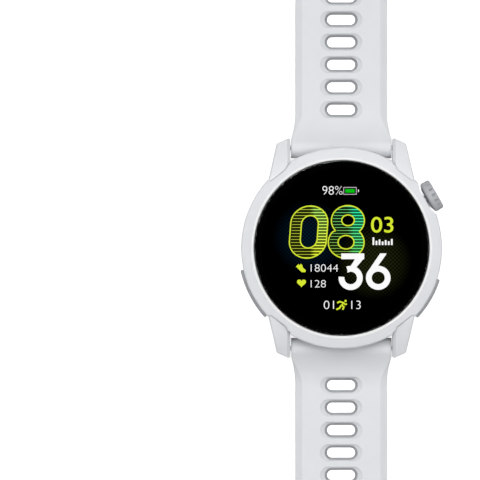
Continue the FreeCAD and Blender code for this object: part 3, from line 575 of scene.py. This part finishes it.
class StrapBody:
    """What the two straps share: the lug end and the stretch with slots."""

    def __init__(self, slot_last, slot_count):
        self.slots = [slot_last - SLOT_PITCH * k for k in reversed(range(slot_count))]
        self.first_cell_y = self.slots[0] - SLOT_PITCH / 2
        self.skin = Skin()
        self.sides = []

    def bottom_z(self, y):
        return 0.0

    def top_z(self, y):
        return self.bottom_z(y) + THICKNESS + rise(y)

    def edge(self, y):
        return half_width(y)

    def bevel(self, y):
        return bevel_at(y)

    def station(self, y):
        return Station(self.edge(y), (y, self.top_z(y)), (y, self.bottom_z(y)), (1, 0), self.bevel(y))

    def plain(self, stations):
        """Top and underside of a stretch with no slot."""
        for top in (True, False):
            self.skin.grid([flat_row(station, top, INNER_SHARE) for station in stations])

    def cell(self, y):
        """Top, underside and walls of the stretch round one slot."""
        half_pitch = SLOT_PITCH / 2
        border = cell_loop(lambda v: self.edge(v) - wide_of(self.station(v)), y, half_pitch)
        rings = [[Vector((x, y + offset, self.top_z(y + offset))) for x, offset in border]]
        for length, width, depth in SLOT_LOOPS:
            rings.append([Vector((x, y + offset, self.top_z(y + offset) - depth * MM))
                          for x, offset in pill_loop(length * MM, width * MM)])
        for length, width, height in SLOT_BOTTOM_LOOPS:
            rings.append([Vector((x, y + offset, self.bottom_z(y + offset) + height * MM))
                          for x, offset in pill_loop(length * MM, width * MM)])
        under = cell_loop(lambda v: self.edge(v) - EDGE_WIDE, y, half_pitch)
        rings.append([Vector((x, y + offset, self.bottom_z(y + offset))) for x, offset in under])
        first, last = WALL_LOOPS
        self.skin.grid(rings[:first + 1], closed=True)
        # the walls inside the slot get the material with painted shade
        self.skin.grid(rings[first:last + 1], closed=True, slot=1)
        self.skin.grid(rings[last:], closed=True)
        for k in range(SIDE_SPLITS):
            self.sides.append(self.station(y - half_pitch + SLOT_PITCH * k / SIDE_SPLITS))

    def build(self):
        lug_end = lug_stations(self)
        self.sides += lug_end
        self.plain(lug_end + [self.station(self.first_cell_y)])
        for y in self.slots:
            self.cell(y)
        self.finish_end(self.slots[-1] + SLOT_PITCH / 2)
        for side in (1.0, -1.0):
            self.skin.grid([[side_point(station, offset, share, side)
                             for offset, share in side_profile(station)] for station in self.sides])


class BuckleStrap(StrapBody):
    """Ends in a round boss with a notch, where the buckle pin goes through."""

    # start and length of each change on the way to the boss
    thickens = (PIN.y - 8.0 * MM, 5.0 * MM)
    narrows = (PIN.y - 6.0 * MM, 3.0 * MM)
    loses_bevel = (PIN.y - 7.4 * MM, 5.0 * MM)
    narrowing = 0.15 * MM

    def top_z(self, y):
        return super().top_z(y) + (BOSS - THICKNESS) * ramp(y, *self.thickens)

    def edge(self, y):
        return half_width(y) - self.narrowing * ramp(y, *self.narrows)

    def bevel(self, y):
        return bevel_at(y) * (1 - ramp(y, *self.loses_bevel))

    def finish_end(self, start):
        radius = BOSS / 2
        straight = 6
        before = [self.station(blend_values(start, NOTCH_START, k / straight))
                  for k in range(straight + 1)]
        centre = STRAP_END_Y - radius
        legs = [self.station(blend_values(NOTCH_START, centre, k / straight)) for k in range(straight)]
        turns = 10
        for k in range(turns + 1):
            angle = math.pi / 2 * (1 - k / turns)
            reach, tall = radius * math.cos(angle), radius * math.sin(angle)
            legs.append(Station(self.edge(centre), (centre + reach, radius + tall),
                                (centre + reach, radius - tall), (1, 0), 0.0))
        self.sides += before[:-1] + legs
        self.neck(before)
        self.legs(legs)

    def inner(self, station, top):
        """Share at which the notch's wall stands in a row."""
        offset = wide_of(station) if top else EDGE_WIDE
        return NOTCH_HALF / (station.x - offset)

    def neck(self, stations):
        """Rows whose middle narrows from the slots' spacing to the notch's."""
        for top in (True, False):
            rows = []
            for k, station in enumerate(stations):
                share = blend_values(INNER_SHARE, self.inner(station, top), k / (len(stations) - 1))
                rows.append(flat_row(station, top, share))
            self.skin.grid(rows)

    def legs(self, stations):
        """The two sides of the boss, and the notch's walls between them."""
        first, last = OUTER_SPLITS, OUTER_SPLITS + INNER_SPLITS
        walls = {}
        for top in (True, False):
            rows = [flat_row(station, top, self.inner(station, top)) for station in stations]
            self.skin.grid([row[:first + 1] for row in rows])
            self.skin.grid([row[last:] for row in rows])
            walls[top] = rows
        for column in (first, last):
            self.skin.grid([[above[column], below[column]]
                            for above, below in zip(walls[True], walls[False])])
        self.skin.grid([walls[True][0][first:last + 1], walls[False][0][first:last + 1]])


class TailStrap(StrapBody):
    """Ends in a round tip with the bevel all round it."""

    def bottom_z(self, y):
        run = max(0.0, y - LIFT_START)
        return LIFT_RADIUS - math.sqrt(LIFT_RADIUS ** 2 - run ** 2)

    def finish_end(self, start):
        long, power = 7.2 * MM, 2.15            # of the tip, and of its curve, where 2 is an ellipse
        corner_y = TIP_Y - long
        straight, turns = 5, 26
        stations = [self.station(blend_values(start, corner_y, k / straight)) for k in range(straight)]
        for k in range(turns + 1):
            angle = math.pi / 2 * k / turns
            across = max(0.0, math.cos(angle)) ** (2 / power)
            ahead = math.sin(angle) ** (2 / power)
            out = Vector((across ** (power - 1) / HALF_WIDTH, ahead ** (power - 1) / long)).normalized()
            y = corner_y + long * ahead
            stations.append(Station(HALF_WIDTH * across, (y, self.top_z(y)), (y, self.bottom_z(y)),
                                    tuple(out), 1.0))
        self.plain(stations)
        self.sides += stations


def cut_away(thing, cutters):
    """Takes the cutters' shapes out of a piece, for good."""
    for cutter in cutters:
        modifier = thing.modifiers.new("cut", "BOOLEAN")
        modifier.object = cutter
        modifier.solver = "EXACT"
    depsgraph = bpy.context.evaluated_depsgraph_get()
    cut = bpy.data.meshes.new_from_object(thing.evaluated_get(depsgraph))
    thing.modifiers.clear()
    thing.data = cut
    for cutter in cutters:
        bpy.data.objects.remove(cutter)


def bar_cutters():
    """Bore for the spring bar, and the pocket under its lever."""
    splits = 32
    bore_radius = 0.95 * MM
    lever_x, travel = -7.6 * MM, 1.3 * MM   # the lever's middle at rest, and how far it slides
    lever_wide, drop = 2.0 * MM, 0.2 * MM   # the lever with its play, and the pocket's middle under it
    bore = bmesh.new()
    turn = Matrix.Translation((0, BAR.y, BAR.z)) @ Matrix.Rotation(math.pi / 2, 4, "Y")
    bmesh.ops.create_cone(bore, cap_ends=True, segments=splits, radius1=bore_radius,
                          radius2=bore_radius, depth=3 * LUG_HALF_WIDTH, matrix=turn)
    pocket = bmesh.new()
    lever_low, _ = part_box("upper_release_pin")
    place = Matrix.Translation((lever_x + travel / 2, BAR.y, lever_low.z - drop))
    size = Matrix.Diagonal((lever_wide + travel, lever_wide, 2 * BAR.z, 1))
    bmesh.ops.create_cube(pocket, size=1.0, matrix=place @ size)
    made = []
    for name, shape in (("bore", bore), ("pocket", pocket)):
        data = bpy.data.meshes.new(name)
        shape.to_mesh(data)
        shape.free()
        made.append(thing_of(name, data))
    return made


def straps(paints):
    """Both straps; the lower one is drawn like the upper and then turned over to -Y."""
    upper = BuckleStrap(UPPER_SLOT_LAST, UPPER_SLOT_COUNT)
    lower = TailStrap(LOWER_SLOT_LAST, LOWER_SLOT_COUNT)
    for name, strap, flip in (("upper_strap", upper, False), ("lower_strap", lower, True)):
        strap.build()
        thing = thing_of(name + "_silicone", strap.skin.mesh(name + "_silicone"))
        thing.data.materials.append(paints["strap_silicone"])
        thing.data.materials.append(paints["slot_wall_painted_shade"])
        cut_away(thing, bar_cutters())
        if flip:
            thing.data.transform(Matrix.Scale(-1, 4, (0, 1, 0)))
            thing.data.flip_normals()
        shade(thing)
        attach(thing, name)
        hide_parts(name)


# ------------------------------------------------------------------ display, seen through the glass
DISPLAY_RADIUS = 17.4 * MM
DISPLAY_HEIGHT = GLASS_BOTTOM + 0.03 * MM
LAYER = 0.02 * MM                           # from one drawn layer to the next
YELLOW = (217, 234, 52)
WHITE = (255, 255, 255)
GREEN = (10, 190, 20)
GREY = (190, 180, 190)


def linear(colour):
    """Screen colour, 0 to 255, as the shader wants it."""
    return tuple(((part / 255 + 0.055) / 1.055) ** 2.4 if part > 10 else part / 255 / 12.92
                 for part in colour)


def lit(name, colour):
    """Glowing pixels of one colour, slightly uneven as a fine screen is."""
    made, tree, shader = shader_of(name)
    shader.inputs["Base Color"].default_value = (0, 0, 0, 1)
    shader.inputs["Specular IOR Level"].default_value = 0.0
    shader.inputs["Emission Color"].default_value = (*linear(colour), 1)
    grain = noise(tree, 4000.0)
    tree.links.new(spread(tree, grain, 0.97, 1.07), shader.inputs["Emission Strength"])
    return made


def place_of(tree):
    """X and Y on the object, in millimetres."""
    split = tree.nodes.new("ShaderNodeSeparateXYZ")
    tree.links.new(tree.nodes.new("ShaderNodeTexCoord").outputs["Object"], split.inputs[0])
    return [calc(tree, "DIVIDE", split.outputs[axis], MM) for axis in ("X", "Y")]


def striped(name, change, dim_low, dim_high, bright_low, bright_high):
    """Glowing level stripes: thin and dim at the left, broad and bright at the right."""
    pitch, bottom, top = 0.645, -2.03, 9.4
    thin, broad = 0.12 * pitch, 0.23 * pitch  # half of a stripe's height
    soft = 0.03
    made, tree, shader = shader_of(name)
    shader.inputs["Base Color"].default_value = (0, 0, 0, 1)
    shader.inputs["Specular IOR Level"].default_value = 0.0
    x, y = place_of(tree)
    height = spread(tree, y, 0.0, 1.0, bottom, top)
    dim = tint(tree, height, linear(dim_low), linear(dim_high))
    bright = tint(tree, height, linear(bright_low), linear(bright_high))
    choose = tree.nodes.new("ShaderNodeMix")
    choose.data_type = "RGBA"
    side = spread(tree, x, 0.0, 1.0, *change)
    tree.links.new(side, choose.inputs[0])
    tree.links.new(dim, choose.inputs[6])
    tree.links.new(bright, choose.inputs[7])
    tree.links.new(choose.outputs[2], shader.inputs["Emission Color"])
    wave = calc(tree, "PINGPONG", calc(tree, "SUBTRACT", y, bottom), pitch / 2)
    beyond = calc(tree, "SUBTRACT", wave, spread(tree, side, thin, broad))
    tree.links.new(spread(tree, beyond, 1.0, 0.0, -soft, soft), shader.inputs["Emission Strength"])
    return made


def dark_face(name):
    """Black screen with two faint clouds of fine dots, blue at the left and olive at the right."""
    made, tree, shader = shader_of(name)
    shader.inputs["Base Color"].default_value = (0, 0, 0, 1)
    shader.inputs["Specular IOR Level"].default_value = 0.0
    x, y = place_of(tree)
    pitch = 0.43
    shift = 50.0                            # keeps both slopes above zero
    between_dots, full_dot = 0.15, 0.6      # least glow, and share of a dot's peak that glows fully
    slopes = (calc(tree, "ADD", x, y), calc(tree, "SUBTRACT", x, y))
    first, second = [calc(tree, "PINGPONG", calc(tree, "ADD", slope, shift), pitch) for slope in slopes]
    both_ways = calc(tree, "MULTIPLY", first, second)
    dots = spread(tree, both_ways, between_dots, 1.0, 0.0, pitch * pitch * full_dot)
    clouds = []
    for centre_x, centre_y, radius in ((-6.9, 2.3, 7.9), (6.9, -3.0, 8.2)):
        across = calc(tree, "SUBTRACT", x, centre_x)
        along = calc(tree, "SUBTRACT", y, centre_y)
        squares = [calc(tree, "MULTIPLY", part, part) for part in (across, along)]
        far = calc(tree, "ADD", *squares)
        clouds.append(calc(tree, "MULTIPLY", spread(tree, far, 1.0, 0.0, 0.0, radius * radius), dots))
    both = tree.nodes.new("ShaderNodeMix")
    both.data_type = "RGBA"
    both.blend_type = "ADD"
    both.inputs[0].default_value = 1.0
    for socket, cloud, colour in ((6, clouds[0], (3, 31, 48)), (7, clouds[1], (40, 44, 18))):
        tree.links.new(tint(tree, cloud, (0, 0, 0), linear(colour)), both.inputs[socket])
    tree.links.new(both.outputs[2], shader.inputs["Emission Color"])
    shader.inputs["Emission Strength"].default_value = 1.0
    return made


def show(name, data, paint, layer):
    """Puts a flat drawing on the screen, at its own layer."""
    thing = thing_of(name, data)
    data.transform(Matrix.Translation((0, 0, DISPLAY_HEIGHT + layer * LAYER)))
    data.materials.clear()
    data.materials.append(paint)
    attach(thing, "case")


def area(loops):
    """Flat mesh inside the first loop of (x, y) in millimetres, less the others."""
    made = bmesh.new()
    for loop in loops:
        points = [made.verts.new((x * MM, y * MM, 0)) for x, y in loop]
        for here, there in zip(points, points[1:] + points[:1]):
            made.edges.new((here, there))
    bmesh.ops.triangle_fill(made, use_beauty=True, use_dissolve=False, edges=made.edges)
    for face in made.faces:
        if face.normal.z < 0:
            face.normal_flip()
    data = bpy.data.meshes.new("drawing")
    made.to_mesh(data)
    made.free()
    return data


def line(path, width, closed=False):
    """Flat ribbon along a path of (x, y) in millimetres."""
    points = [Vector(point) for point in path]
    count = len(points)
    skin = Skin()
    rows = []
    for k, point in enumerate(points):
        before = points[k - 1] if closed or k else point
        after = points[(k + 1) % count] if closed or k + 1 < count else point
        ahead = (after - before).normalized()
        side = Vector((-ahead.y, ahead.x)) * width / 2
        ends = [point + side * way for way in (1, -1)]
        rows.append([(end.x * MM, end.y * MM, 0) for end in ends])
    if closed:
        rows.append(rows[0])
    skin.grid(rows)
    data = skin.mesh("line")
    for face in data.polygons:
        if face.normal.z < 0:
            face.flip()
    return data


def oval(centre, half_width, half_height, straight=0.0, lean=0.0):
    """Points round an ellipse; its halves may stand apart, and lean sideways with their height."""
    splits = 72
    made = []
    for k in range(splits):
        angle = math.tau * (k + 0.5) / splits
        x, y = half_width * math.cos(angle), half_height * math.sin(angle)
        y += math.copysign(straight, y)
        made.append((centre[0] + x + lean * y, centre[1] + y))
    return made


def arc(centre, radius, first, last):
    """Points along part of a circle, both ends among them."""
    splits = 48
    angles = [math.radians(blend_values(first, last, k / splits)) for k in range(splits + 1)]
    return [(centre[0] + radius * math.cos(a), centre[1] + radius * math.sin(a)) for a in angles]


def number(text, left, right, bottom, top, bold=0.0):
    """Mesh of a number in the plain built-in typeface, fitted to a box in millimetres."""
    curve = bpy.data.curves.new("number", "FONT")
    curve.body = text
    curve.offset = bold
    curve.resolution_u = 6
    thing = thing_of("number", curve)
    data = bpy.data.meshes.new_from_object(thing)
    bpy.data.objects.remove(thing)
    low = [min(v.co[axis] for v in data.vertices) for axis in (0, 1)]
    high = [max(v.co[axis] for v in data.vertices) for axis in (0, 1)]
    wide, tall = [(far - near) for near, far in zip(low, high)]
    fit = Matrix.Diagonal(((right - left) * MM / wide, (top - bottom) * MM / tall, 1, 1))
    data.transform(fit @ Matrix.Translation((-low[0], -low[1], 0)))
    data.transform(Matrix.Translation((left * MM, bottom * MM, 0)))
    return data


def hour_digits(yellow):
    """Outlined and striped 0 and 8."""
    outline_width = 0.26
    inset, digit_width = 0.3, 8.0           # the stripes stop short of the outline's left side
    narrower = 1 - inset / digit_width
    lean = 0.075
    zero = [oval((-7.12, 3.44), 3.98, 3.7, 1.92, lean), oval((-6.97, 3.5), 1.82, 1.9, 1.6, lean)]
    middle_x, waist = 1.2, 3.72
    outside = ([point for point in oval((1.35, 5.92), 3.56, 3.23) if point[1] > waist]
               + [point for point in oval((0.98, 1.22), 3.86, 3.42) if point[1] < waist])
    outside.sort(key=lambda point: math.atan2(point[1] - waist, point[0] - middle_x))
    eight = [outside, oval((1.38, 5.97), 1.36, 1.16), oval((0.95, 1.25), 1.72, 1.45)]
    digits = (
        ("zero", zero, (-6.9, -5.8), (178, 190, 56), (178, 200, 66), (240, 250, 50), (170, 240, 110)),
        ("eight", eight, (1.2, 2.6), (140, 172, 52), (100, 215, 130), (105, 225, 105), (25, 240, 175)),
    )
    for name, loops, change, *colours in digits:
        right = max(x for x, y in loops[0])
        filled = [[(right + (x - right) * narrower, y) for x, y in loops[0]]] + loops[1:]
        stripes = striped("display_stripes_" + name, change, *colours)
        show("hour_%s_stripes" % name, area(filled), stripes, 1)
        for k, loop in enumerate(loops):
            show("hour_%s_outline_%d" % (name, k), line(loop, outline_width, True), yellow, 2)


def minute_digits(white):
    """Bold white 3 and 6."""
    stroke = 1.24
    top = -1.16
    bar_y = top - stroke / 2
    neck = [(2.9, top - 0.2), (4.87, top - 0.2), (4.8, -2.25), (3.29, -4.0), (3.0, -4.6), (2.1, -5.0),
            (1.24, -5.3), (1.24, -5.0), (2.95, -2.3)]
    stem = [(8.3, top), (9.65, top), (9.62, -1.35), (7.78, -3.95), (7.4, -5.0), (6.2, -5.3), (5.85, -4.78)]
    show("minute_three_bar", line([(-0.08, bar_y), (4.87, bar_y)], stroke), white, 3)
    show("minute_three_neck", area([neck]), white, 4)
    show("minute_three_bowl", line(arc((1.95, -6.45), 1.98, 112, -187), stroke), white, 5)
    show("minute_six_bowl", line(oval((7.89, -6.42), 2.03, 1.97), stroke, True), white, 3)
    show("minute_six_stem", area([stem]), white, 4)


def display(paints):
    """All that the screen shows, from its dark face up."""
    gap = 0.05                              # between the dark border and the edge of the glass
    white = lit("display_white", WHITE)
    yellow = lit("display_yellow", YELLOW)
    screen_edge = DISPLAY_RADIUS / MM
    border_edge = GLASS_RADIUS / MM - gap
    show("display_face", area([oval((0, 0), screen_edge, screen_edge)]), dark_face("display_dots"), 0)
    border = [oval((0, 0), radius, radius) for radius in (border_edge, screen_edge)]
    show("lens_border", area(border), paints["display_black"], 0)
    hour_digits(yellow)
    minute_digits(white)
    for name, text, left, right, bottom, top, paint in (
            ("battery_level", "98%", -4.15, 0.2, 11.5, 13.35, white),
            ("steps", "18044", -6.65, -0.75, -5.1, -3.5, white),
            ("pulse", "128", -6.65, -3.4, -8.5, -6.9, white),
            ("runs_left", "01", -3.85, -1.65, -13.15, -11.35, white),
            ("runs_right", "13", 2.1, 4.1, -13.15, -11.35, white)):
        show("display_" + name, number(text, left, right, bottom, top, -0.016), paint, 1)
    show("display_day", number("03", 6.33, 11.15, 3.3, 6.72, 0.006), yellow, 1)
    icons(white, yellow)


def heart_shape(centre, half_width, half_height):
    """Points round a heart."""
    splits = 48
    made = []
    for k in range(splits):
        angle = math.tau * k / splits
        waves = [tall * math.cos(turns * angle) for turns, tall in enumerate((13, -5, -2, -1), 1)]
        made.append((centre[0] + half_width * math.sin(angle) ** 3,
                     centre[1] + half_height * sum(waves) / 16))
    return made


def icons(white, yellow):
    """Battery, shoe, heart, runner and a small bar for each day of the week."""
    shell = [[(0.36, 11.5), (3.25, 11.5), (3.25, 13.14), (0.36, 13.14)],
             [(0.52, 11.66), (3.09, 11.66), (3.09, 12.98), (0.52, 12.98)]]
    show("battery_shell", area(shell), lit("display_grey", GREY), 1)
    show("battery_nub", line([(3.62, 12.05), (3.62, 12.6)], 0.16), white, 1)
    show("battery_charge", line([(0.8, 12.32), (2.8, 12.32)], 0.76), lit("display_green", GREEN), 1)
    heart = heart_shape((-8.65, -7.5), 0.98, 0.95)
    show("heart", area([heart]), yellow, 1)
    shoe = [(-9.85, -4.0), (-9.3, -3.45), (-9.0, -3.75), (-8.85, -3.35), (-8.45, -3.7), (-8.35, -4.2),
            (-7.7, -4.8), (-7.8, -5.2), (-8.6, -5.2)]
    show("shoe", area([shoe]), yellow, 1)
    first_x, foot, bar_pitch, bar_width = 6.85, 0.65, 0.66, 0.38
    for k, tall in enumerate((1.65, 0.9, 1.2, 0.75, 1.05, 0.8, 1.3)):
        x = first_x + bar_pitch * k
        show("weekday_bar_%d" % k, line([(x, foot), (x, foot + tall)], bar_width), white, 1)
    limb_width, head_radius = 0.36, 0.24
    limbs = (
        [(-0.95, -11.85), (-0.45, -11.55), (0.35, -11.75), (0.05, -12.3)],
        [(0.35, -11.75), (0.75, -12.15), (1.15, -12.05)],
        [(0.05, -12.3), (0.5, -12.7), (0.2, -13.3)],
        [(-0.1, -12.35), (-0.45, -12.95), (-1.15, -13.25)],
    )
    for k, limb in enumerate(limbs):
        show("runner_limb_%d" % k, line(limb, limb_width), yellow, 1)
    show("runner_head", area([oval((0.85, -11.4), head_radius, head_radius)]), yellow, 1)


# ------------------------------------------------------------------ all of it
bpy.context.scene.view_settings.view_transform = "Standard"
camera()
world()
floor()
paints = finishes()
dress_nodes(paints)
straps(paints)
display(paints)
